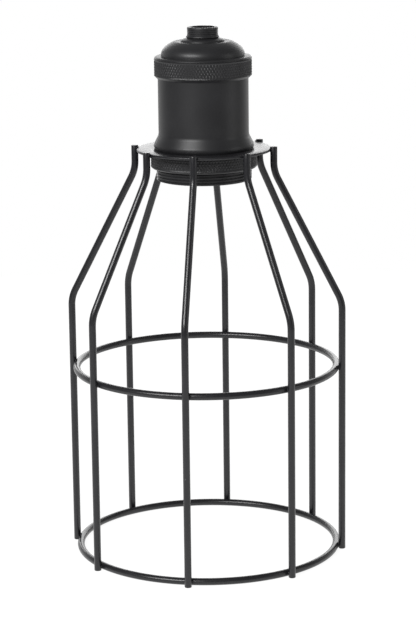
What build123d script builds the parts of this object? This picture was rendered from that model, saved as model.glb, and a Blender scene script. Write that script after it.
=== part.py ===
from build123d import *
import math
import os

# Bulb cage guard: a cage of eight bent wires and two rings, welded to a round plate, hung on a
# screw-type lampholder. Millimetres, +Z up, origin on the cage's axis at the ends of the wires.

# Cage
cage_outer_diameter = 120.0
wire_diameter = 3.0
wire_count = 8
first_wire_angle = -9.0
wire_bend_radius = 15.0
lower_bend_height = 109.4
upper_bend_drop = 9.5
ring_wire_diameter = 3.0
bottom_ring_clearance = 0.1
middle_ring_height = 80.8
weld_depth = 0.25

# Plate that the lampholder clamps
plate_diameter = 56.8
plate_thickness = 1.1
plate_top = 174.8
plate_hole_clearance = 0.2
wire_overrun = 0.9

# Lampholder shell: barrel below the plate, flared foot on it, tube above it
barrel_diameter = 40.2
barrel_length = 13.2
barrel_chamfer = 0.3
foot_seat_width = 0.5
foot_corner_diameter = 42.5
foot_corner_height = 1.6
foot_corner_rounding = 2.5
foot_height = 5.9
tube_diameter = 38.1
tube_length = 36.8
shell_wall = 1.5
lip_thickness = 1.5
lip_width = 1.65

# Ring nut under the plate
shade_ring_diameter = 45.0
shade_ring_height = 6.9
shade_ring_top_chamfer = 0.3
shade_ring_bottom_chamfer = 0.6

# Cap with its dome and its threaded neck
cap_diameter = 41.1
cap_skirt_bottom = 29.85
cap_skirt_height = 9.05
cap_lower_chamfer = 1.05
cap_upper_rounding = 1.3
cap_end_clearance = 0.2
cap_wall = 1.55
dome_diameter = 35.1
dome_straight = 0.65
dome_rise = 7.6
dome_ceiling_thickness = 2.0
dome_inner_rounding = 3.5
moat_diameter = 23.6
moat_depth = 0.45
collar_diameter = 18.4
collar_height = 1.75
collar_side = 0.9
collar_rounding = 0.7
neck_diameter = 13.0
neck_height = 6.2
neck_rounding = 0.5
neck_bead_radius = 0.45
inlet_thread_diameter = 10.0
inlet_thread_depth = 0.54
inlet_mouth_chamfer = 0.7

# Porcelain insert
insert_clearance = 0.25
socket_depth = 26.0
web_thickness = 4.0
terminal_well_depth = 8.0
terminal_well_wall = 2.8
insert_mouth_chamfer = 1.0
barrier_thickness = 2.0

# Screw sleeve for an E27 lamp cap
sleeve_bore_diameter = 26.6
sleeve_sheet = 0.4
sleeve_clearance = 0.2
sleeve_setback = 3.5
sleeve_shoulder_height = 4.6
sleeve_neck_height = 2.0
sleeve_neck_diameter = 24.4
sleeve_flange_width = 1.4
ear_width = 6.0
ear_reach = 6.2
rivet_ear_width = 5.0
rivet_ear_reach = 4.6
rivet_ear_angles = (120.0, 240.0)
rivet_diameter = 2.4
rivet_head_diameter = 4.2
rivet_head_height = 0.8

# Spring contact for the lamp's tip
contact_sheet = 0.6
contact_width = 5.0
contact_screw_radius = 6.6
contact_base_overhang = 2.9
contact_drop = 2.6
contact_tip_length = 4.0

# Terminals and screws
block_width = 6.5
block_clearance = 0.5
block_height = 7.2
block_overhang = 2.6
block_wire_hole = 3.4
block_wire_height = 4.2
m3_diameter = 3.0
m3_head_diameter = 5.5
m3_head_height = 1.8
m3_clearance = 0.15
contact_screw_grip = 2.2
clamp_screw_reach = 2.2
slot_width = 0.8
slot_depth = 0.9

# Snap ring that keeps the insert down
snap_ring_height = 1.0
snap_ring_width = 1.5
snap_ring_groove = 0.6
snap_ring_clearance = 0.1
snap_ring_gap_angle = 16.0

# Earth terminal inside the cap
earth_boss_diameter = 8.0
earth_boss_length = 4.2
earth_boss_seat = 0.3
earth_boss_clearance = 1.4
earth_washer_diameter = 7.0
earth_washer_thickness = 0.8
earth_screw_grip = 4.0

# Worked out from the above
wire_radius = wire_diameter / 2
ring_wire_radius = ring_wire_diameter / 2
wire_circle_radius = cage_outer_diameter / 2 - wire_radius
ring_radius = wire_circle_radius - wire_radius - ring_wire_radius + weld_depth
plate_radius = plate_diameter / 2
wire_top_circle_radius = plate_radius + wire_radius - weld_depth
wire_top = plate_top + wire_overrun
upper_bend_height = plate_top - upper_bend_drop
bottom_ring_height = ring_wire_radius + bottom_ring_clearance
plate_bottom = plate_top - plate_thickness

barrel_radius = barrel_diameter / 2
barrel_end = plate_top - barrel_length
plate_hole_radius = barrel_radius + plate_hole_clearance
foot_seat_radius = plate_hole_radius + foot_seat_width
tube_radius = tube_diameter / 2
shell_bore_radius = tube_radius - shell_wall
shell_top = plate_top + tube_length

insert_radius = shell_bore_radius - insert_clearance
insert_bottom = barrel_end + lip_thickness
web_bottom = insert_bottom + socket_depth
web_top = web_bottom + web_thickness
insert_top = web_top + terminal_well_depth
terminal_well_radius = insert_radius - terminal_well_wall
block_reach = terminal_well_radius - block_clearance
block_outer_end = math.sqrt(block_reach**2 - (block_width / 2) ** 2)
clamp_screw_radius = block_reach - m3_head_diameter / 2

sleeve_bore_radius = sleeve_bore_diameter / 2
sleeve_radius = sleeve_bore_radius + sleeve_sheet
insert_cavity_radius = sleeve_radius + sleeve_clearance
sleeve_bottom = insert_bottom + sleeve_setback
sleeve_flange_bottom = web_bottom - sleeve_sheet
sleeve_neck_radius = sleeve_neck_diameter / 2
sleeve_flange_radius = sleeve_neck_radius - sleeve_flange_width
ear_fixing_radius = sleeve_flange_radius - ear_reach / 2
rivet_radius = sleeve_flange_radius - rivet_ear_reach / 2

contact_base_bottom = web_bottom - contact_sheet
inlet_bore_radius = inlet_thread_diameter / 2 - inlet_thread_depth

cap_bottom = plate_top + cap_skirt_bottom
cap_shoulder = cap_bottom + cap_skirt_height
dome_spring = cap_shoulder + dome_straight
dome_radius = dome_diameter / 2
dome_inner_radius = dome_radius - cap_wall
cap_inner_step = shell_top + cap_end_clearance
earth_boss_radius = dome_inner_radius - earth_boss_diameter / 2 - earth_boss_clearance
moat_outer_radius = moat_diameter / 2
collar_radius = collar_diameter / 2
neck_radius = neck_diameter / 2


def dome_height(radius):
    """Height of the dome's outside at a distance from the axis."""
    return dome_spring + dome_rise * math.sqrt(1 - (radius / dome_radius) ** 2)


dome_top = dome_height(moat_outer_radius)
moat_floor = dome_top - moat_depth
dome_ceiling = dome_top - dome_ceiling_thickness
neck_top = moat_floor + neck_height


def turned_polygon(*points):
    """A solid of revolution about Z from corner points given as radius and height."""
    return revolve(Plane.XZ * make_face(Polyline(*points, close=True)), Axis.Z)


def tube(outer_radius, inner_radius, bottom, top):
    """A plain ring or tube on the axis."""
    points = ((inner_radius, bottom), (outer_radius, bottom), (outer_radius, top), (inner_radius, top))
    return turned_polygon(*points)


def disc(radius, bottom, top):
    """A plain cylinder on the axis."""
    return Pos(0, 0, bottom) * Cylinder(radius, top - bottom, align=(Align.CENTER, Align.CENTER, Align.MIN))


def slotted_screw(head_diameter, head_height, shank_diameter, shank_length):
    """A cheese-head screw: head above the origin's plane, shank below it."""
    head = Cylinder(head_diameter / 2, head_height, align=(Align.CENTER, Align.CENTER, Align.MIN))
    shank = Cylinder(shank_diameter / 2, shank_length, align=(Align.CENTER, Align.CENTER, Align.MAX))
    slot = Pos(0, 0, head_height) * Box(head_diameter, slot_width, 2 * slot_depth)
    return head + shank - slot


def wire_angle(index):
    return first_wire_angle + index * 360 / wire_count


def upright_wire(index):
    """One round wire: upright, bent inwards, and bent upright again at the plate's rim."""
    path = FilletPolyline(
        (wire_circle_radius, 0, 0),
        (wire_circle_radius, 0, lower_bend_height),
        (wire_top_circle_radius, 0, upper_bend_height),
        (wire_top_circle_radius, 0, wire_top),
        radius=wire_bend_radius,
    )
    section = Plane(origin=path @ 0, z_dir=path % 0) * Circle(wire_radius)
    return Rot(0, 0, wire_angle(index)) * sweep(section, path=path)


def weld_seats(circle_radius, bottom, top):
    """The straight cylinders that the wires fill at one height, for cutting their seats."""
    seat = disc(wire_radius, bottom, top)
    return [Rot(0, 0, wire_angle(i)) * Pos(circle_radius, 0, 0) * seat for i in range(wire_count)]


def cage_ring(height):
    """A round wire ring inside the uprights, seated on each of them at its weld."""
    ring = Pos(0, 0, height) * Torus(ring_radius, ring_wire_radius)
    bottom = height - ring_wire_diameter
    return ring - weld_seats(wire_circle_radius, max(bottom, 0), height + ring_wire_diameter)


def top_plate():
    """The washer-shaped plate with a shallow seat for each wire in its rim."""
    plate = tube(plate_radius, plate_hole_radius, plate_bottom, plate_top)
    return plate - weld_seats(wire_top_circle_radius, plate_bottom, plate_top)


def shell():
    """Lampholder body: threaded barrel with an inner lip, flared foot, and plain tube."""
    barrel = disc(barrel_radius, barrel_end, plate_top)
    barrel = chamfer(barrel.edges().sort_by(Axis.Z)[0], barrel_chamfer)
    foot_corner = Vector(foot_corner_diameter / 2, plate_top + foot_corner_height)
    side = FilletPolyline(
        (foot_seat_radius, plate_top),
        (foot_corner.X, foot_corner.Y),
        (tube_radius, plate_top + foot_height),
        radius=foot_corner_rounding,
    )
    rest = Polyline(
        (tube_radius, plate_top + foot_height),
        (tube_radius, shell_top),
        (0, shell_top),
        (0, plate_top),
        (foot_seat_radius, plate_top),
    )
    body = revolve(Plane.XZ * make_face(side + rest), Axis.Z)
    bore = disc(shell_bore_radius, insert_bottom, shell_top)
    mouth = disc(shell_bore_radius - lip_width, barrel_end, insert_bottom)
    groove_top = insert_top + snap_ring_height + snap_ring_clearance
    groove = disc(shell_bore_radius + snap_ring_groove, insert_top, groove_top)
    return barrel + body - bore - mouth - groove


def shade_ring():
    """The knurled ring nut on the barrel, which pulls the plate up against the foot."""
    radius = shade_ring_diameter / 2
    bottom = plate_bottom - shade_ring_height
    return turned_polygon(
        (barrel_radius, bottom),
        (radius - shade_ring_bottom_chamfer, bottom),
        (radius, bottom + shade_ring_bottom_chamfer),
        (radius, plate_bottom - shade_ring_top_chamfer),
        (radius - shade_ring_top_chamfer, plate_bottom),
        (barrel_radius, plate_bottom),
    )


def cap_outside():
    """The cap's outer form, solid: skirt, dome, collar, and the neck with a bead at its foot."""
    radius = cap_diameter / 2
    skirt = disc(radius, cap_bottom, cap_shoulder)
    skirt = chamfer(skirt.edges().sort_by(Axis.Z)[0], cap_lower_chamfer)
    skirt = fillet(skirt.edges().sort_by(Axis.Z)[-1], cap_upper_rounding)
    crown_angle = math.degrees(math.acos(moat_outer_radius / dome_radius))
    crown = EllipticalCenterArc((0, dome_spring), dome_radius, dome_rise, arc_size=crown_angle)
    rest = Polyline(
        crown @ 1,
        (collar_radius, moat_floor),
        (0, moat_floor),
        (0, cap_inner_step),
        (dome_radius, cap_inner_step),
        crown @ 0,
    )
    dome = revolve(Plane.XZ * make_face(crown + rest), Axis.Z)
    collar_top = FilletPolyline(
        (collar_radius, moat_floor),
        (collar_radius, moat_floor + collar_side),
        (neck_radius, moat_floor + collar_height),
        radius=collar_rounding,
    )
    collar_core = Polyline(collar_top @ 1, (0, moat_floor + collar_height), (0, moat_floor), collar_top @ 0)
    collar = revolve(Plane.XZ * make_face(collar_top + collar_core), Axis.Z)
    neck = disc(neck_radius, moat_floor, neck_top)
    neck = fillet(neck.edges().sort_by(Axis.Z)[-1], neck_rounding)
    bead = Pos(0, 0, moat_floor + collar_height + neck_bead_radius) * Torus(neck_radius, neck_bead_radius)
    return skirt + dome + collar + neck + bead


def cap():
    """The screw-on cap, hollow, with its cord inlet and the earth boss under its dome."""
    thread_bore = disc(tube_radius, cap_bottom, cap_inner_step)
    hollow = disc(dome_inner_radius, cap_inner_step, dome_ceiling)
    hollow = fillet(hollow.edges().sort_by(Axis.Z)[-1], dome_inner_rounding)
    inlet = disc(inlet_bore_radius, dome_ceiling, neck_top)
    mouth_radius = inlet_bore_radius + inlet_mouth_chamfer
    mouth = turned_polygon(
        (0, neck_top - inlet_mouth_chamfer),
        (inlet_bore_radius, neck_top - inlet_mouth_chamfer),
        (mouth_radius, neck_top),
        (0, neck_top),
    )
    boss = Pos(earth_boss_radius, 0, 0) * disc(
        earth_boss_diameter / 2, dome_ceiling - earth_boss_length, dome_ceiling + earth_boss_seat
    )
    earth_hole = Pos(earth_boss_radius, 0, 0) * disc(
        m3_diameter / 2, dome_ceiling - earth_boss_length, dome_ceiling - earth_boss_length + earth_screw_grip
    )
    return cap_outside() - thread_bore - hollow - inlet - mouth + boss - earth_hole


def rivet_places():
    return [Rot(0, 0, angle) * Pos(rivet_radius, 0, 0) for angle in rivet_ear_angles]


def ear(reach, width):
    """A flat tongue that points from the sleeve's flange towards the axis."""
    root = sleeve_flange_radius + sleeve_sheet
    tongue = Box(reach + sleeve_sheet, width, sleeve_sheet, align=(Align.MAX, Align.CENTER, Align.MIN))
    return Pos(root, 0, sleeve_flange_bottom) * tongue


def insert():
    """Porcelain insert: socket cavity below a web, terminal well with a barrier above it."""
    outer = disc(insert_radius, insert_bottom, insert_top)
    cavity = disc(insert_cavity_radius, insert_bottom, web_bottom)
    cavity = cavity + turned_polygon(
        (0, insert_bottom),
        (insert_cavity_radius + insert_mouth_chamfer, insert_bottom),
        (insert_cavity_radius, insert_bottom + insert_mouth_chamfer),
        (0, insert_bottom + insert_mouth_chamfer),
    )
    well = disc(terminal_well_radius, web_top, insert_top)
    barrier = Pos(0, 0, web_top) * Box(
        barrier_thickness,
        2 * terminal_well_radius,
        terminal_well_depth,
        align=(Align.CENTER, Align.CENTER, Align.MIN),
    )
    body = outer - cavity - (well - barrier)
    screw_hole = disc(m3_diameter / 2 + m3_clearance, web_bottom, web_top)
    body -= Pos(-contact_screw_radius, 0, 0) * screw_hole
    body -= Pos(ear_fixing_radius, 0, 0) * screw_hole
    rivet_hole = disc(rivet_diameter / 2, web_bottom, web_top)
    return body - [place * rivet_hole for place in rivet_places()]


def screw_sleeve():
    """Thin metal sleeve for the lamp's thread: necked in at its end, with a flange and three ears."""
    shoulder = web_bottom - sleeve_shoulder_height
    neck = web_bottom - sleeve_neck_height
    sleeve = turned_polygon(
        (sleeve_bore_radius, sleeve_bottom),
        (sleeve_radius, sleeve_bottom),
        (sleeve_radius, shoulder),
        (sleeve_neck_radius, neck),
        (sleeve_neck_radius, web_bottom),
        (sleeve_flange_radius, web_bottom),
        (sleeve_flange_radius, sleeve_flange_bottom),
        (sleeve_neck_radius - sleeve_sheet, sleeve_flange_bottom),
        (sleeve_neck_radius - sleeve_sheet, neck),
        (sleeve_bore_radius, shoulder),
    )
    sleeve += ear(ear_reach, ear_width)
    sleeve += [Rot(0, 0, angle) * ear(rivet_ear_reach, rivet_ear_width) for angle in rivet_ear_angles]
    screw_hole = disc(m3_diameter / 2 + m3_clearance, sleeve_flange_bottom, web_bottom)
    sleeve -= Pos(ear_fixing_radius, 0, 0) * screw_hole
    rivet_hole = disc(rivet_diameter / 2, sleeve_flange_bottom, web_bottom)
    return sleeve - [place * rivet_hole for place in rivet_places()]


def sleeve_rivets():
    """Two rivets through the ears and the web, headed on both sides."""
    shank = disc(rivet_diameter / 2, sleeve_flange_bottom, web_top)
    lower_head = disc(rivet_head_diameter / 2, sleeve_flange_bottom - rivet_head_height, sleeve_flange_bottom)
    upper_head = disc(rivet_head_diameter / 2, web_top, web_top + rivet_head_height)
    rivet = shank + lower_head + upper_head
    return Compound(children=[place * rivet for place in rivet_places()])


def centre_contact():
    """Bent spring strip: flat base under the web, ramp, and a raised tip on the axis."""
    outer_end = -contact_screw_radius - contact_base_overhang
    ramp_start = -contact_screw_radius + contact_base_overhang
    tip_start = -contact_tip_length / 2
    tip_end = contact_tip_length / 2
    tip_top = contact_base_bottom - contact_drop + contact_sheet
    line = Polyline(
        (outer_end, web_bottom),
        (ramp_start, web_bottom),
        (tip_start, tip_top),
        (tip_end, tip_top),
        (tip_end + contact_sheet, tip_top + contact_sheet),
        (tip_end + contact_sheet, tip_top),
        (tip_end, tip_top - contact_sheet),
        (tip_start, tip_top - contact_sheet),
        (ramp_start, web_bottom - contact_sheet),
        (outer_end, web_bottom - contact_sheet),
        close=True,
    )
    strip = extrude(Plane.XZ * make_face(line), contact_width / 2, both=True)
    hole = disc(m3_diameter / 2 + m3_clearance, contact_base_bottom, web_bottom)
    return strip - Pos(-contact_screw_radius, 0, 0) * hole


def contact_screws():
    """Two like screws up through the web: one for the centre contact, one for the sleeve's ear."""
    through_contact = contact_sheet + web_thickness + contact_screw_grip
    through_ear = sleeve_sheet + web_thickness + contact_screw_grip
    screw_a = slotted_screw(m3_head_diameter, m3_head_height, m3_diameter, through_contact)
    screw_b = slotted_screw(m3_head_diameter, m3_head_height, m3_diameter, through_ear)
    live = Pos(-contact_screw_radius, 0, contact_base_bottom) * Rot(180, 0, 0) * screw_a
    neutral = Pos(ear_fixing_radius, 0, sleeve_flange_bottom) * Rot(180, 0, 0) * screw_b
    return Compound(children=[live, neutral])


def terminal_block(screw_radius):
    """Brass block on the web: tapped from below, cross-drilled for a wire, tapped for its clamp screw."""
    inner_end = screw_radius - block_overhang
    length = block_outer_end - inner_end
    block = Box(length, block_width, block_height, align=(Align.MIN, Align.CENTER, Align.MIN))
    block = Pos(inner_end, 0, web_top) * block
    block -= Pos(screw_radius, 0, 0) * disc(m3_diameter / 2, web_top, web_top + contact_screw_grip)
    wire_level = web_top + block_wire_height
    wire_hole = Rot(90, 0, 0) * Cylinder(block_wire_hole / 2, block_width)
    block -= Pos(clamp_screw_radius, 0, wire_level) * wire_hole
    clamp_hole = disc(m3_diameter / 2, wire_level, web_top + block_height)
    return block - Pos(clamp_screw_radius, 0, 0) * clamp_hole


def terminal_screws():
    """Two like clamp screws, one down into each terminal block."""
    screw = slotted_screw(m3_head_diameter, m3_head_height, m3_diameter, clamp_screw_reach)
    level = web_top + block_height
    return Compound(children=[Pos(side * clamp_screw_radius, 0, level) * screw for side in (1, -1)])


def snap_ring():
    """Open spring ring in the shell's groove, on top of the insert."""
    outer_radius = shell_bore_radius + snap_ring_groove - snap_ring_clearance
    ring = tube(outer_radius, outer_radius - snap_ring_width, insert_top, insert_top + snap_ring_height)
    gap_width = 2 * outer_radius * math.sin(math.radians(snap_ring_gap_angle / 2))
    gap = Pos(0, outer_radius, insert_top) * Box(
        gap_width, 2 * snap_ring_width + outer_radius, 4 * snap_ring_height
    )
    return ring - gap


def earth_washer():
    """Washer that clamps the earth wire under the boss."""
    top = dome_ceiling - earth_boss_length
    hole_radius = m3_diameter / 2 + m3_clearance
    washer = tube(earth_washer_diameter / 2, hole_radius, top - earth_washer_thickness, top)
    return Pos(earth_boss_radius, 0, 0) * washer


def earth_screw():
    """Screw up into the boss under the dome, for the earth wire."""
    head_plane = dome_ceiling - earth_boss_length - earth_washer_thickness
    length = earth_washer_thickness + earth_screw_grip
    screw = slotted_screw(m3_head_diameter, m3_head_height, m3_diameter, length)
    return Pos(earth_boss_radius, 0, head_plane) * Rot(180, 0, 0) * screw


def parts():
    nodes = {f"upright_wire_{i + 1}": upright_wire(i) for i in range(wire_count)}
    nodes["bottom_ring"] = cage_ring(bottom_ring_height)
    nodes["middle_ring"] = cage_ring(middle_ring_height)
    nodes["top_plate"] = top_plate()
    nodes["shell"] = shell()
    nodes["shade_ring"] = shade_ring()
    nodes["cap"] = cap()
    nodes["porcelain_insert"] = insert()
    nodes["snap_ring"] = snap_ring()
    nodes["screw_sleeve"] = screw_sleeve()
    nodes["sleeve_rivets"] = sleeve_rivets()
    nodes["centre_contact"] = centre_contact()
    nodes["contact_screws"] = contact_screws()
    nodes["neutral_terminal"] = terminal_block(ear_fixing_radius)
    nodes["live_terminal"] = Rot(0, 0, 180) * terminal_block(contact_screw_radius)
    nodes["terminal_screws"] = terminal_screws()
    nodes["earth_washer"] = earth_washer()
    nodes["earth_screw"] = earth_screw()
    return nodes


os.makedirs("parts", exist_ok=True)
for name, solid in parts().items():
    export_step(solid, f"parts/{name}.step")
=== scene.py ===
import bmesh
import bpy
import math
from mathutils import Matrix, Vector


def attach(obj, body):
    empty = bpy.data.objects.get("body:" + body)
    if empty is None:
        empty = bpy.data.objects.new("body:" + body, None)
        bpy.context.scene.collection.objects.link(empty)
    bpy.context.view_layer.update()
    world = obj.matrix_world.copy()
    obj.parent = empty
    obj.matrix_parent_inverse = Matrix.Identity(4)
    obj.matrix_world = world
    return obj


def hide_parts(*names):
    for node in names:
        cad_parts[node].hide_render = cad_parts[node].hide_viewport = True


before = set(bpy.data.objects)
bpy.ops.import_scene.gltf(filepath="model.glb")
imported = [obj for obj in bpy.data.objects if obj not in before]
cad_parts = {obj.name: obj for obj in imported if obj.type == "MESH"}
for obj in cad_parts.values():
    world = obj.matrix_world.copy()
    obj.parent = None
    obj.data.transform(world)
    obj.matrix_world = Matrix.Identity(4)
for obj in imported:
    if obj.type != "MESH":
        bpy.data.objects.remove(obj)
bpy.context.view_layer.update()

MM = 0.001
TURN = 2 * math.pi

# Sizes in mm, as on the solid parts
WIRE = 1.5
WIRE_CIRCLE = 58.5
WIRE_TOP_CIRCLE = 29.65
WIRE_TOP = 175.7
BEND = 15.0
LOWER_BEND = 109.4
UPPER_BEND = 165.3
WIRES = 8
FIRST_WIRE = -9.0
RING = 55.75
BOTTOM_RING = 1.6
MIDDLE_RING = 80.8
PLATE_EDGE = 28.4
PLATE_HOLE = 20.3
PLATE_LOW = 173.7
PLATE_HIGH = 174.8
BARREL = 20.1
BARREL_ROOT = 19.65
BARREL_LOW = 161.6
LIP_BORE = 15.9
TUBE = 19.05
TUBE_BORE = 17.55
TUBE_TOP = 211.6
FOOT = 21.25
FOOT_HIGH = 176.4
FLARE_TOP = 180.7
SPRING_GROOVE = 18.15
NUT = 22.5
NUT_LOW = 166.8
SKIRT = 20.55
SKIRT_LOW = 204.65
SKIRT_TOP = 213.7
DOME = 17.55
DOME_LOW = 214.35
DOME_RISE = 7.6
DOME_RIM = 11.8
MOAT = 219.53
COLLAR = 9.2
COLLAR_TOP = 220.43
NECK = 6.5
NECK_FOOT = 221.28
NECK_TOP = 225.72
NECK_BEAD = 0.45
INLET = 5.0
CAP_BORE = 16.0
CEILING = 217.98
BOSS_LOW = 213.78
BOSS_DEPTH = 4.5


# ---------- finishes ----------

def linear(code):
    """An sRGB hex colour as linear red, green, blue and alpha."""
    parts = [int(code[i:i + 2], 16) / 255 for i in (1, 3, 5)]
    return [p / 12.92 if p <= 0.04045 else ((p + 0.055) / 1.055) ** 2.4 for p in parts] + [1.0]


def add_node(tree, kind, sockets, **settings):
    """Adds one node; each named socket gets a value, or a link where it is given an output."""
    node = tree.nodes.new("ShaderNode" + kind)
    for name, value in settings.items():
        setattr(node, name, value)
    for name, value in sockets.items():
        if isinstance(value, bpy.types.NodeSocket):
            tree.links.new(value, node.inputs[name])
        else:
            node.inputs[name].default_value = value
    return node


def new_finish(name):
    finish = bpy.data.materials.new(name)
    finish.use_nodes = True
    finish.node_tree.nodes.clear()
    return finish, finish.node_tree


def per_mm(size):
    """The noise scale at which one lump is that many millimetres across."""
    return 1 / (size * MM)


def baked_paint(name, deep, pale, roughness, peel_mm, peel, grain_mm, specks):
    """Black baked paint: faint cloudiness, a fine orange peel, and a few pale specks of dust in it."""
    finish, tree = new_finish(name)
    place = add_node(tree, "TexCoord", {}).outputs["Object"]
    cloud = add_node(tree, "TexNoise", {"Vector": place, "Scale": per_mm(14), "Detail": 3.0})
    tone = add_node(tree, "ValToRGB", {"Fac": cloud.outputs["Fac"]})
    tone.color_ramp.elements[0].color = linear(deep)
    tone.color_ramp.elements[0].position = 0.35
    tone.color_ramp.elements[1].color = linear(pale)
    tone.color_ramp.elements[1].position = 0.65
    dust = add_node(tree, "TexVoronoi", {"Vector": place, "Scale": per_mm(6.0), "Randomness": 1.0})
    speck = add_node(tree, "MapRange", {
        "Value": dust.outputs["Distance"], "From Min": specks, "From Max": specks * 0.6,
        "To Min": 0.0, "To Max": 0.5})
    colour = add_node(tree, "MixRGB", {
        "Fac": speck.outputs["Result"], "Color1": tone.outputs["Color"], "Color2": linear("#77777A")})
    grain = add_node(tree, "TexNoise", {"Vector": place, "Scale": per_mm(grain_mm), "Detail": 2.0})
    sheen = add_node(tree, "MapRange", {
        "Value": grain.outputs["Fac"], "From Min": 0.3, "From Max": 0.7,
        "To Min": roughness - 0.04, "To Max": roughness + 0.04})
    lumps = add_node(tree, "TexNoise", {"Vector": place, "Scale": per_mm(peel_mm), "Detail": 2.0})
    bump = add_node(tree, "Bump", {
        "Height": lumps.outputs["Fac"], "Strength": peel, "Distance": 0.05 * MM})
    shader = add_node(tree, "BsdfPrincipled", {
        "Base Color": colour.outputs["Color"], "Roughness": sheen.outputs["Result"],
        "Normal": bump.outputs["Normal"], "IOR": 1.5})
    add_node(tree, "OutputMaterial", {"Surface": shader.outputs["BSDF"]})
    return finish


def glazed_porcelain():
    """White glazed porcelain: warm white, glossy, with a faint waviness from the glaze."""
    finish, tree = new_finish("porcelain")
    place = add_node(tree, "TexCoord", {}).outputs["Object"]
    cloud = add_node(tree, "TexNoise", {"Vector": place, "Scale": per_mm(6), "Detail": 4.0})
    tone = add_node(tree, "ValToRGB", {"Fac": cloud.outputs["Fac"]})
    tone.color_ramp.elements[0].color = linear("#DDD6C8")
    tone.color_ramp.elements[1].color = linear("#F0ECE2")
    glaze = add_node(tree, "TexNoise", {"Vector": place, "Scale": per_mm(2.5), "Detail": 1.0})
    bump = add_node(tree, "Bump", {
        "Height": glaze.outputs["Fac"], "Strength": 0.25, "Distance": 0.1 * MM})
    shader = add_node(tree, "BsdfPrincipled", {
        "Base Color": tone.outputs["Color"], "Roughness": 0.16, "IOR": 1.5,
        "Normal": bump.outputs["Normal"]})
    add_node(tree, "OutputMaterial", {"Surface": shader.outputs["BSDF"]})
    return finish


def worked_metal(name, deep, pale, roughness, mark_mm, marks):
    """Bare metal with fine working marks: its tone and its gloss vary along them."""
    finish, tree = new_finish(name)
    place = add_node(tree, "TexCoord", {}).outputs["Object"]
    drawn = add_node(tree, "Mapping", {"Vector": place, "Scale": (1.0, 1.0, 0.12)})
    mark = add_node(tree, "TexNoise", {
        "Vector": drawn.outputs["Vector"], "Scale": per_mm(mark_mm), "Detail": 4.0})
    tone = add_node(tree, "ValToRGB", {"Fac": mark.outputs["Fac"]})
    tone.color_ramp.elements[0].color = linear(deep)
    tone.color_ramp.elements[0].position = 0.3
    tone.color_ramp.elements[1].color = linear(pale)
    tone.color_ramp.elements[1].position = 0.7
    gloss = add_node(tree, "MapRange", {
        "Value": mark.outputs["Fac"], "From Min": 0.3, "From Max": 0.7,
        "To Min": roughness - 0.06, "To Max": roughness + 0.06})
    bump = add_node(tree, "Bump", {
        "Height": mark.outputs["Fac"], "Strength": marks, "Distance": 0.03 * MM})
    shader = add_node(tree, "BsdfPrincipled", {
        "Base Color": tone.outputs["Color"], "Metallic": 1.0,
        "Roughness": gloss.outputs["Result"], "Normal": bump.outputs["Normal"]})
    add_node(tree, "OutputMaterial", {"Surface": shader.outputs["BSDF"]})
    return finish


FINISHES = {
    # Satin black powder coat on steel wire: thick, even, with a soft orange peel that breaks its highlights
    "wire_paint": baked_paint("satin_powder_coat_wire", "#1C1C1F", "#242427", 0.29, 0.9, 0.18, 0.25, 0.05),
    # The same powder coat on the flat plate, a little smoother, so that it mirrors the room at a low angle
    "plate_paint": baked_paint("satin_powder_coat_plate", "#1D1D20", "#252528", 0.34, 1.1, 0.25, 0.3, 0.04),
    # Matte black baked lacquer on turned aluminium: thin, so edges stay crisp, with a very fine grain
    "holder_paint": baked_paint("matte_lacquer_holder", "#1E1E20", "#262628", 0.42, 0.45, 0.15, 0.16, 0.02),
    # Electrical porcelain with a clear glaze
    "porcelain": glazed_porcelain(),
    # Hardened spring steel, blued a little by its heat treatment
    "spring_steel": worked_metal("blued_spring_steel", "#6E7074", "#85878B", 0.34, 0.3, 0.3),
    # Rolled sheet brass, slightly dulled by handling
    "contact_brass": worked_metal("rolled_brass", "#C39A51", "#DDB76B", 0.28, 0.35, 0.3),
    # Zinc-plated steel, pale and bluish
    "screw_steel": worked_metal("zinc_plated_steel", "#AEB1B5", "#C9CBCE", 0.32, 0.25, 0.3),
}


# ---------- making pieces ----------

def start_piece(name):
    """Names the primitive that was just added and opens it for editing."""
    piece = bpy.context.object
    piece.name = name
    piece.data.name = name
    bpy.ops.object.mode_set(mode="EDIT")
    bpy.ops.mesh.select_mode(type="VERT")
    bpy.ops.mesh.select_all(action="SELECT")
    return piece


def pick(kind, test):
    """Selects the corners, edges or faces of the piece being edited whose corners all pass the test."""
    bpy.ops.mesh.select_mode(type=kind)
    bpy.ops.mesh.select_all(action="DESELECT")
    mesh = bmesh.from_edit_mesh(bpy.context.object.data)
    if kind == "VERT":
        for corner in mesh.verts:
            corner.select_set(test(corner.co))
    else:
        for item in (mesh.edges if kind == "EDGE" else mesh.faces):
            item.select_set(all(test(corner.co) for corner in item.verts))
    bmesh.update_edit_mesh(bpy.context.object.data)


def at(radius, height):
    """A test for corners at one distance from the axis and one height, in mm."""
    return lambda p: abs(p.xy.length - radius * MM) < 0.02 * MM and abs(p.z - height * MM) < 0.02 * MM


def ease(radius, height, width, segments=3):
    """Rounds the circular edge at that radius and height."""
    pick("EDGE", at(radius, height))
    bpy.ops.mesh.bevel(offset=width * MM, segments=segments, affect="EDGES")


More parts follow.
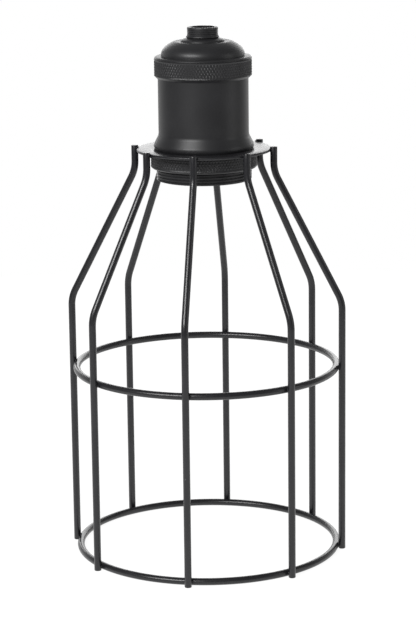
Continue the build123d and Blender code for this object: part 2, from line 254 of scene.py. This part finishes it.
def draw_outline(name, corners, closed=True):
    """Draws an outline in the plane of X and Z, corner by corner, each a radius and a height in mm."""
    bpy.ops.object.select_all(action="DESELECT")
    bpy.ops.mesh.primitive_plane_add(size=MM)
    piece = start_piece(name)
    bpy.ops.mesh.merge(type="CENTER")
    bpy.ops.transform.translate(value=(corners[0][0] * MM, 0, corners[0][1] * MM))
    for last, new in zip(corners, corners[1:]):
        step = ((new[0] - last[0]) * MM, 0, (new[1] - last[1]) * MM)
        bpy.ops.mesh.extrude_vertices_move(TRANSFORM_OT_translate={"value": step})
    if closed:
        ends = [Vector((corners[i][0] * MM, 0, corners[i][1] * MM)) for i in (0, -1)]
        pick("VERT", lambda p: min((p - end).length for end in ends) < 0.005 * MM)
        bpy.ops.mesh.edge_face_add()
    return piece


def tidy_mesh():
    """Joins doubled corners and points every face outwards."""
    bpy.ops.mesh.select_all(action="SELECT")
    bpy.ops.mesh.remove_doubles(threshold=0.004 * MM)
    bpy.ops.mesh.normals_make_consistent(inside=False)


def turned(name, corners, steps):
    """A lathe-turned piece: its outline is spun once about the axis."""
    piece = draw_outline(name, corners)
    bpy.ops.mesh.select_all(action="SELECT")
    bpy.ops.mesh.spin(steps=steps, angle=TURN, center=(0, 0, 0), axis=(0, 0, 1))
    tidy_mesh()
    return piece


def knurl_band(radius, low, high, rows):
    """The corners of an outline between which a knurl is pressed: two steps for each row of diamonds."""
    return [(radius, low + (high - low) * i / (2 * rows)) for i in range(2 * rows + 1)]


def knurl(radius, low, high, rows, columns, depth):
    """Presses a diamond knurl into a fine grid: full depth along the crossing grooves, half on the slopes."""

    def pressed(share):
        def test(p):
            row = round((p.z / MM - low) / (high - low) * 2 * rows)
            column = round(math.atan2(p.y, p.x) / TURN * 2 * columns)
            if not (0 < row < 2 * rows and abs(p.xy.length - radius * MM) < 0.02 * MM):
                return False
            if row % 2 != column % 2:
                return share == "slope"
            on_peak = row % 2 == 0 and (row + column) % 4 == 0
            return share == "groove" and not on_peak
        return test

    for share, amount in (("groove", depth), ("slope", 0.5 * depth)):
        pick("VERT", pressed(share))
        bpy.ops.transform.shrink_fatten(value=-amount * MM)


def screwed(name, corners, pitch, low, high, steps, closed=True):
    """A thread: its section is screwed up the axis and cut off flat at both ends."""
    start = low - 1.5 * pitch
    piece = draw_outline(name, [(radius, height + start) for radius, height in corners], closed)
    bpy.ops.object.mode_set(mode="OBJECT")
    bpy.ops.object.modifier_add(type="SCREW")
    screw = piece.modifiers[-1]
    screw.axis = "Z"
    screw.angle = TURN
    screw.screw_offset = pitch * MM
    screw.iterations = math.ceil((high - low) / pitch) + 3
    screw.steps = steps
    screw.render_steps = steps
    bpy.ops.object.modifier_apply(modifier=screw.name)
    bpy.ops.object.mode_set(mode="EDIT")
    tidy_mesh()
    if closed:
        bpy.ops.mesh.fill_holes(sides=0)
        tidy_mesh()
    for height, above in ((low, False), (high, True)):
        bpy.ops.mesh.select_all(action="SELECT")
        bpy.ops.mesh.bisect(
            plane_co=(0, 0, height * MM), plane_no=(0, 0, 1),
            clear_outer=above, clear_inner=not above, use_fill=closed, threshold=0.0001 * MM)
    return piece


def join_to(piece, *others):
    """Joins finished meshes into one piece."""
    bpy.ops.object.select_all(action="DESELECT")
    for other in others:
        other.select_set(True)
    piece.select_set(True)
    bpy.context.view_layer.objects.active = piece
    bpy.ops.object.join()


def select_alone(piece):
    bpy.ops.object.select_all(action="DESELECT")
    piece.select_set(True)
    bpy.context.view_layer.objects.active = piece


def leave_edit(piece):
    """Ends the editing of a piece and leaves it selected alone."""
    bpy.ops.object.mode_set(mode="OBJECT")
    select_alone(piece)


def copy_of(piece, name):
    """A copy of a piece with a mesh of its own."""
    select_alone(piece)
    bpy.ops.object.duplicate(linked=False)
    copy = bpy.context.object
    copy.name = name
    copy.data.name = name
    return copy


def finish_piece(piece, slot, *nodes, angle=32):
    """Shades a piece, gives it its finish and lets it stand for its nodes."""
    leave_edit(piece)
    bpy.ops.object.shade_smooth_by_angle(angle=math.radians(angle))
    piece.data.materials.clear()
    piece.data.materials.append(FINISHES[slot])
    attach(piece, "root")
    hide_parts(*nodes)


def turn_about_axis(degrees):
    """Turns the selected objects about the upright axis and applies it to their meshes."""
    bpy.ops.transform.rotate(
        value=-math.radians(degrees), orient_axis="Z", orient_type="GLOBAL", center_override=(0, 0, 0))
    bpy.ops.object.transform_apply(location=True, rotation=True, scale=True)


def weld_bead(name, radius, height, angle, size, seed):
    """A small uneven bead of weld metal under the paint; size is its reach outwards, along and up, in mm."""
    bpy.ops.object.select_all(action="DESELECT")
    bpy.ops.mesh.primitive_uv_sphere_add(
        segments=20, ring_count=12, radius=MM, location=(radius * MM, 0, height * MM), scale=size)
    piece = start_piece(name)
    bpy.ops.mesh.select_all(action="SELECT")
    bpy.ops.transform.vertex_random(offset=0.3 * MM, uniform=0.6, normal=0.4, seed=seed)
    bpy.ops.mesh.vertices_smooth(factor=0.5, repeat=5)
    leave_edit(piece)
    turn_about_axis(angle)
    return piece


def wire_angle(index):
    return FIRST_WIRE + index * 360 / WIRES


# ---------- the cage ----------

def upright_wires():
    """Eight round wires, each upright, bent in over the bulb, and bent upright again at the plate."""
    slant = math.atan2(WIRE_CIRCLE - WIRE_TOP_CIRCLE, UPPER_BEND - LOWER_BEND)
    setback = BEND * math.tan(slant / 2)
    run = math.hypot(WIRE_CIRCLE - WIRE_TOP_CIRCLE, UPPER_BEND - LOWER_BEND) - 2 * setback
    bpy.ops.object.select_all(action="DESELECT")
    bpy.ops.mesh.primitive_circle_add(vertices=20, radius=WIRE * MM, location=(WIRE_CIRCLE * MM, 0, 0))
    first = start_piece("wire_1")
    bpy.ops.mesh.select_all(action="SELECT")

    def lengthen(along, up):
        bpy.ops.mesh.extrude_region_move(TRANSFORM_OT_translate={"value": (along * MM, 0, up * MM)})

    lengthen(0, LOWER_BEND - setback)
    bpy.ops.mesh.spin(
        steps=10, angle=slant, axis=(0, 1, 0),
        center=((WIRE_CIRCLE - BEND) * MM, 0, (LOWER_BEND - setback) * MM))
    lengthen(-run * math.sin(slant), run * math.cos(slant))
    bpy.ops.mesh.spin(
        steps=10, angle=-slant, axis=(0, 1, 0),
        center=((WIRE_TOP_CIRCLE + BEND) * MM, 0, (UPPER_BEND + setback) * MM))
    lengthen(0, WIRE_TOP - UPPER_BEND - setback)
    bpy.ops.mesh.select_all(action="SELECT")
    bpy.ops.mesh.fill_holes(sides=0)
    tidy_mesh()
    for level in (0, WIRE_TOP):
        pick("EDGE", lambda p: abs(p.z - level * MM) < 0.01 * MM)
        bpy.ops.mesh.bevel(offset=0.3 * MM, segments=2, affect="EDGES")
    leave_edit(first)
    bpy.ops.object.transform_apply(location=True, rotation=True, scale=True)
    wires = [first] + [copy_of(first, "wire_%d" % (index + 1)) for index in range(1, WIRES)]
    for index, wire in enumerate(wires):
        select_alone(wire)
        turn_about_axis(wire_angle(index))
        finish_piece(wire, "wire_paint", "upright_wire_%d" % (index + 1))


def cage_ring(name, node, height, seed):
    """A ring of bent wire inside the uprights, welded to each upright."""
    bpy.ops.object.select_all(action="DESELECT")
    bpy.ops.mesh.primitive_torus_add(
        major_radius=RING * MM, minor_radius=WIRE * MM, major_segments=192, minor_segments=20,
        location=(0, 0, height * MM))
    ring = start_piece(name)
    leave_edit(ring)
    bpy.ops.object.transform_apply(location=True, rotation=True, scale=True)
    beads = [
        weld_bead("%s_bead" % name, RING + WIRE - 0.12, height, wire_angle(i), (0.8, 1.35, 1.25), seed + i)
        for i in range(WIRES)]
    join_to(ring, *beads)
    finish_piece(ring, "wire_paint", node, angle=50)


def top_plate():
    """The stamped plate, with its edges a little rounded, and a bead above and below at each wire."""
    corners = [
        (PLATE_HOLE, PLATE_LOW), (PLATE_EDGE, PLATE_LOW), (PLATE_EDGE, PLATE_HIGH), (PLATE_HOLE, PLATE_HIGH)]
    plate = turned("plate", corners, 192)
    for radius, height in corners:
        ease(radius, height, 0.3, 2)
    leave_edit(plate)
    beads = []
    for index in range(WIRES):
        for level, seed in ((PLATE_HIGH, 60), (PLATE_LOW, 80)):
            beads.append(weld_bead(
                "plate_bead", PLATE_EDGE + 0.2, level, wire_angle(index), (0.9, 1.7, 0.45), seed + index))
    join_to(plate, *beads)
    finish_piece(plate, "plate_paint", "top_plate", angle=50)


# ---------- the lampholder's outside ----------

def shell():
    """The turned body: threaded barrel, flared foot, plain tube, and the groove for the spring ring."""
    sunk = BARREL_ROOT - 0.1
    thread_low = BARREL_LOW + 0.15
    body = turned("body", [
        (LIP_BORE, BARREL_LOW), (sunk, BARREL_LOW), (BARREL_ROOT, thread_low), (BARREL_ROOT, PLATE_LOW),
        (BARREL, PLATE_LOW + 0.2), (BARREL, PLATE_HIGH), (FOOT - 0.45, PLATE_HIGH), (FOOT, FOOT_HIGH),
        (TUBE, FLARE_TOP), (TUBE, TUBE_TOP), (TUBE_BORE, TUBE_TOP),
        (TUBE_BORE, 202.2), (SPRING_GROOVE, 202.2), (SPRING_GROOVE, 201.1), (TUBE_BORE, 201.1),
        (TUBE_BORE, BARREL_LOW + 1.5), (LIP_BORE, BARREL_LOW + 1.5)], 160)
    ease(FOOT, FOOT_HIGH, 0.98, 6)
    ease(TUBE, FLARE_TOP, 0.8, 4)
    ease(FOOT - 0.45, PLATE_HIGH, 0.12, 2)
    ease(LIP_BORE, BARREL_LOW, 0.25, 2)
    leave_edit(body)
    thread = screwed(
        "barrel_thread", [(sunk, -0.56), (BARREL, -0.3), (BARREL, 0.3), (sunk, 0.56)],
        1.25, thread_low, PLATE_LOW, 160)
    leave_edit(thread)
    join_to(body, thread)
    finish_piece(body, "holder_paint", "shell")


def shade_ring():
    """The ring nut with its fine diamond knurl between two plain edges."""
    rows, columns = 5, 208
    low, high = NUT_LOW + 0.8, PLATE_LOW - 0.5
    nut = turned(
        "ring_nut",
        [(BARREL, NUT_LOW), (NUT - 0.6, NUT_LOW), (NUT, NUT_LOW + 0.55)]
        + knurl_band(NUT, low, high, rows)
        + [(NUT, PLATE_LOW - 0.3), (NUT - 0.3, PLATE_LOW), (BARREL, PLATE_LOW)], 2 * columns)
    knurl(NUT, low, high, rows, columns, 0.26)
    ease(BARREL, NUT_LOW, 0.3, 2)
    finish_piece(nut, "holder_paint", "shade_ring", angle=17)


def cap():
    """The screw-on cap: knurled skirt, dome, moat, collar, and the threaded neck with its turned lines."""
    rows, columns = 6, 196
    low, high = 205.75, 212.4
    shoulder = [
        (SKIRT, 212.5), (20.3, 212.62), (20.3, 212.82), (20.48, 212.92), (20.44, 213.15), (20.22, 213.42),
        (19.85, 213.63), (19.4, SKIRT_TOP), (DOME, SKIRT_TOP)]
    crown = math.acos(DOME_RIM / DOME)
    dome = [
        (DOME * math.cos(crown * i / 12), DOME_LOW + DOME_RISE * math.sin(crown * i / 12)) for i in range(13)]
    bead_height = NECK_FOOT + NECK_BEAD
    bead = [
        (NECK + NECK_BEAD * math.sin(math.pi * i / 6), bead_height - NECK_BEAD * math.cos(math.pi * i / 6))
        for i in range(1, 7)]
    lines = []
    for height in (222.9, 223.7, 224.5):
        lines += [(NECK, height - 0.2), (NECK - 0.14, height), (NECK, height + 0.2)]
    inside = [
        (INLET + 0.16, NECK_TOP), (INLET, NECK_TOP - 0.16), (INLET, CEILING), (CAP_BORE, CEILING),
        (CAP_BORE, 211.8), (TUBE, 211.8)]
    piece = turned(
        "cap_dome",
        [(TUBE, SKIRT_LOW), (19.5, SKIRT_LOW), (SKIRT, SKIRT_LOW + 1.05)]
        + knurl_band(SKIRT, low, high, rows) + shoulder + dome
        + [(COLLAR, MOAT), (COLLAR, COLLAR_TOP), (NECK, NECK_FOOT)] + bead + lines
        + [(NECK, NECK_TOP)] + inside, 2 * columns)
    knurl(SKIRT, low, high, rows, columns, 0.25)
    ease(DOME_RIM, dome[-1][1], 0.6, 3)
    ease(COLLAR, COLLAR_TOP, 0.5, 4)
    ease(COLLAR, MOAT, 0.3, 3)
    ease(NECK, NECK_TOP, 0.35, 3)
    ease(CAP_BORE, CEILING, 3.2, 6)
    leave_edit(piece)
    thread = screwed(
        "inlet_thread", [(INLET + 0.08, -0.48), (4.46, -0.06), (4.46, 0.06), (INLET + 0.08, 0.48)],
        1.0, 218.0, 225.3, 64)
    leave_edit(thread)
    boss = earth_boss()
    join_to(piece, thread, boss)
    finish_piece(piece, "holder_paint", "cap", angle=17)


def earth_boss():
    """The boss inside the cap that takes the earth screw, with the screw's hole sunk into its lower face."""
    bpy.ops.object.select_all(action="DESELECT")
    bpy.ops.mesh.primitive_cylinder_add(
        vertices=40, radius=4 * MM, depth=BOSS_DEPTH * MM,
        location=(10.6 * MM, 0, (BOSS_LOW + BOSS_DEPTH / 2) * MM))
    boss = start_piece("earth_boss")
    pick("FACE", lambda p: p.z < -0.48 * BOSS_DEPTH * MM)
    bpy.ops.mesh.inset(thickness=2.5 * MM)
    bpy.ops.mesh.extrude_region_move(TRANSFORM_OT_translate={"value": (0, 0, 4 * MM)})
    leave_edit(boss)
    bpy.ops.object.transform_apply(location=True, rotation=True, scale=True)
    return boss


# ---------- the lampholder's inside ----------

def screw_sleeve():
    """The rolled sheet sleeve: round-waved lamp thread, necked end, flange and three fixing ears."""
    pitch = 3.629
    wave = [(12.75 + 0.55 * math.cos(TURN * i / 10), pitch * i / 10) for i in range(11)]
    sleeve = screwed("sleeve", wave, pitch, 166.6, 184.6, 72, closed=False)
    leave_edit(sleeve)
    bpy.ops.object.modifier_add(type="SOLIDIFY")
    wall = sleeve.modifiers[-1]
    wall.thickness = 0.4 * MM
    wall.offset = 1.0
    bpy.ops.object.modifier_apply(modifier=wall.name)
    neck = turned("sleeve_neck", [
        (13.3, 183.9), (13.7, 183.9), (13.7, 184.5), (12.2, 187.1), (12.2, 189.1), (10.8, 189.1),
        (10.8, 188.7), (11.8, 188.7), (11.8, 187.1), (13.3, 184.5)], 72)
    ease(12.2, 189.1, 0.3, 2)
    leave_edit(neck)
    ears = []
    for angle, reach, width in ((0, 6.2, 6.0), (120, 4.6, 5.0), (240, 4.6, 5.0)):
        bpy.ops.object.select_all(action="DESELECT")
        bpy.ops.mesh.primitive_cube_add(
            size=MM, location=((11.2 - (reach + 0.4) / 2) * MM, 0, 188.9 * MM),
            scale=(reach + 0.4, width, 0.4))
        ear = start_piece("ear")
        leave_edit(ear)
        bpy.ops.object.transform_apply(location=True, rotation=True, scale=True)
        bpy.ops.object.mode_set(mode="EDIT")
        tip = (10.8 - reach + 0.01) * MM
        for side in (-1, 1):
            pick("EDGE", lambda p: p.x < tip and p.y * side > 0)
            bpy.ops.mesh.bevel(offset=1.4 * MM, segments=5, affect="EDGES")
        leave_edit(ear)
        turn_about_axis(angle)
        ears.append(ear)
    join_to(sleeve, neck, *ears)
    finish_piece(sleeve, "contact_brass", "screw_sleeve", angle=40)


def inner_parts():
    """The inner parts keep their solid form and get their real finishes."""
    kept = {
        "porcelain_insert": "porcelain", "snap_ring": "spring_steel", "sleeve_rivets": "contact_brass",
        "centre_contact": "contact_brass", "live_terminal": "contact_brass",
        "neutral_terminal": "contact_brass", "earth_washer": "contact_brass",
        "contact_screws": "screw_steel", "terminal_screws": "screw_steel", "earth_screw": "screw_steel"}
    for node, slot in kept.items():
        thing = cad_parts[node]
        for place in thing.material_slots:
            place.material = FINISHES[slot]
        if not thing.material_slots:
            thing.data.materials.append(FINISHES[slot])


# ---------- stage, light and camera ----------

def stage_floor():
    """A pale round floor: white to the camera and in reflections, with the object's shadow kept on it."""
    bpy.ops.object.select_all(action="DESELECT")
    bpy.ops.mesh.primitive_circle_add(vertices=96, radius=0.6, fill_type="NGON", location=(0, 0, 0))
    floor = bpy.context.object
    floor.name = "floor"
    finish, tree = new_finish("pale_floor")
    ray = add_node(tree, "LightPath", {})
    seen = ray.outputs["Is Camera Ray"]
    for other in ("Is Glossy Ray", "Is Transmission Ray"):
        seen = add_node(tree, "Math", {0: seen, 1: ray.outputs[other]}, operation="MAXIMUM").outputs[0]
    matte = add_node(tree, "BsdfDiffuse", {"Color": linear("#E6E6E6")})
    shadow = add_node(tree, "BsdfDiffuse", {"Color": linear("#7A7A7A")})
    glow = add_node(tree, "Emission", {"Color": (1, 1, 1, 1), "Strength": 0.93})
    lit = add_node(tree, "AddShader", {0: shadow.outputs[0], 1: glow.outputs[0]})
    mix = add_node(tree, "MixShader", {0: seen, 1: matte.outputs[0], 2: lit.outputs[0]})
    add_node(tree, "OutputMaterial", {"Surface": mix.outputs[0]})
    floor.data.materials.append(finish)


def room():
    """Even pale surroundings: white where the camera looks, dimmer on the camera's own side of the room."""
    world = bpy.data.worlds.new("room")
    bpy.context.scene.world = world
    world.use_nodes = True
    tree = world.node_tree
    tree.nodes.clear()
    ray = add_node(tree, "LightPath", {})
    side = add_node(tree, "SeparateXYZ", {0: add_node(tree, "TexCoord", {}).outputs["Generated"]})
    far = add_node(tree, "MapRange", {
        "Value": side.outputs["Y"], "From Min": 0.2, "From Max": 0.95, "To Min": 0.0, "To Max": 1.0})
    low = add_node(tree, "MapRange", {
        "Value": side.outputs["Z"], "From Min": 0.15, "From Max": 0.6, "To Min": 1.0, "To Max": 0.25})
    wall = add_node(tree, "Math", {0: far.outputs[0], 1: low.outputs[0]}, operation="MULTIPLY")
    dim = add_node(tree, "MapRange", {"Value": wall.outputs[0], "To Min": 0.2, "To Max": 1.0})
    level = add_node(tree, "Math", {0: ray.outputs["Is Camera Ray"], 1: dim.outputs[0]}, operation="MAXIMUM")
    back = add_node(tree, "Background", {"Color": (1, 1, 1, 1), "Strength": level.outputs[0]})
    add_node(tree, "OutputWorld", {"Surface": back.outputs[0]})


def soft_lamp(name, place, target, width, height, power):
    lamp = bpy.data.lights.new(name, "AREA")
    lamp.shape = "RECTANGLE"
    lamp.size = width
    lamp.size_y = height
    lamp.energy = power
    thing = bpy.data.objects.new(name, lamp)
    bpy.context.scene.collection.objects.link(thing)
    thing.location = place
    thing.rotation_euler = (Vector(target) - Vector(place)).to_track_quat("-Z", "Y").to_euler()
    thing.visible_camera = False


def photo_camera():
    """The camera of the photograph, fitted to the cage: place, turn, tilt and roll."""
    lens = bpy.data.cameras.new("camera")
    lens.lens = 134.78
    lens.sensor_width = 36
    lens.clip_start = 0.05
    lens.clip_end = 20
    camera = bpy.data.objects.new("camera", lens)
    bpy.context.scene.collection.objects.link(camera)
    yaw, pitch, roll = (math.radians(a) for a in (0.4749, 12.5367, -0.6858))
    upright = Matrix.Rotation(-yaw, 4, "Z") @ Matrix.Rotation(math.pi / 2 - pitch, 4, "X")
    turn = upright @ Matrix.Rotation(roll, 4, "Z")
    camera.matrix_world = Matrix.Translation((-0.00721539, -0.97730178, 0.3210914)) @ turn
    bpy.context.scene.camera = camera


upright_wires()
cage_ring("ring_low", "bottom_ring", BOTTOM_RING, 20)
cage_ring("ring_mid", "middle_ring", MIDDLE_RING, 40)
top_plate()
shell()
shade_ring()
cap()
screw_sleeve()
inner_parts()

stage_floor()
room()
soft_lamp("key", (-0.68, -0.95, 0.84), (0, 0, 0.19), 0.8, 0.32, 14.5)
soft_lamp("back", (0.1, 1.3, 0.45), (0, 0, 0.12), 1.4, 0.5, 5.0)
soft_lamp("side", (1.2, -0.3, 0.4), (0, 0, 0.12), 0.5, 0.8, 1.5)
photo_camera()

view = bpy.context.scene.view_settings
view.view_transform = "Standard"
